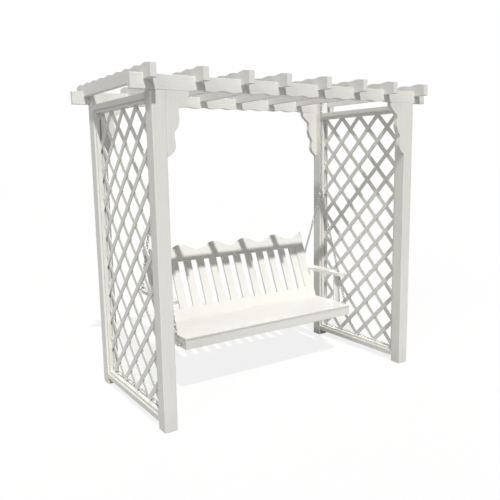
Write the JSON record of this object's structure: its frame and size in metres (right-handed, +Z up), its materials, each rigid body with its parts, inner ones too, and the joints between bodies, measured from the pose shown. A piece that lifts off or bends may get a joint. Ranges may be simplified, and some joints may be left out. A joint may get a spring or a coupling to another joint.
{
  "type": "arbor swing",
  "caption": "Painted wooden garden arbor with lattice sides and scalloped rafters, with a slatted bench that swings on chains.",
  "frame": {"origin": "on the ground, at the middle of the arbor's footprint", "axes": "+X to the arbor's right as seen from the front, -Y towards the front, +Z up"},
  "size_m": [2.44, 1.28, 2.222],
  "materials": {
    "painted_wood": "off-white exterior paint over softwood, satin, grain just telegraphing",
    "galvanised_steel": "bright zinc plating, semi-gloss"
  },
  "bodies": {
    "arbor": {"post_front_left": "painted_wood", "post_front_right": "painted_wood", "post_rear_left": "painted_wood", "post_rear_right": "painted_wood", "beam_front": "painted_wood", "beam_rear": "painted_wood", "rafter_1": "painted_wood", "rafter_2": "painted_wood", "rafter_3": "painted_wood", "rafter_4": "painted_wood", "rafter_5": "painted_wood", "rafter_6": "painted_wood", "rafter_7": "painted_wood", "rafter_8": "painted_wood", "bracket_front_left": "painted_wood", "bracket_front_right": "painted_wood", "bracket_rear_left": "painted_wood", "bracket_rear_right": "painted_wood", "top_board_left": "painted_wood", "top_board_right": "painted_wood", "bottom_board_left": "painted_wood", "bottom_board_right": "painted_wood", "cleats_outer_left": "painted_wood", "cleats_inner_left": "painted_wood", "cleats_outer_right": "painted_wood", "cleats_inner_right": "painted_wood", "lattice_forward_left": "painted_wood", "lattice_backward_left": "painted_wood", "lattice_forward_right": "painted_wood", "lattice_backward_right": "painted_wood", "hanger_left": "galvanised_steel", "hanger_right": "galvanised_steel"},
    "upper_chains": {"upper_chain_left": "galvanised_steel", "upper_chain_right": "galvanised_steel"},
    "bench": {"ring_left": "galvanised_steel", "ring_right": "galvanised_steel", "front_chain_left": "galvanised_steel", "front_chain_right": "galvanised_steel", "rear_chain_left": "galvanised_steel", "rear_chain_right": "galvanised_steel", "seat_panel": "painted_wood", "front_apron": "painted_wood", "rear_apron": "painted_wood", "cross_braces": "painted_wood", "side_rail_left": "painted_wood", "side_rail_right": "painted_wood", "crest_rail": "painted_wood", "lower_rail": "painted_wood", "stile_left": "painted_wood", "stile_right": "painted_wood", "back_slats": "painted_wood", "arm_left": "painted_wood", "arm_right": "painted_wood", "front_support_left": "painted_wood", "front_support_right": "painted_wood", "rear_gusset_left": "painted_wood", "rear_gusset_right": "painted_wood", "seat_eyes": "galvanised_steel", "arm_eyes": "galvanised_steel"}
  },
  "joints": [
    {"name": "swing", "type": "hinge", "parent": "arbor", "child": "upper_chains", "pos_m": [0, 0.1855, 2.1135], "axis": [1, 0, 0], "range_deg": [-20, 20]},
    {"name": "bench_tilt", "type": "hinge", "parent": "upper_chains", "child": "bench", "pos_m": [0, 0.1855, 1.384], "axis": [1, 0, 0], "range_deg": [-8, 8]}
  ]
}
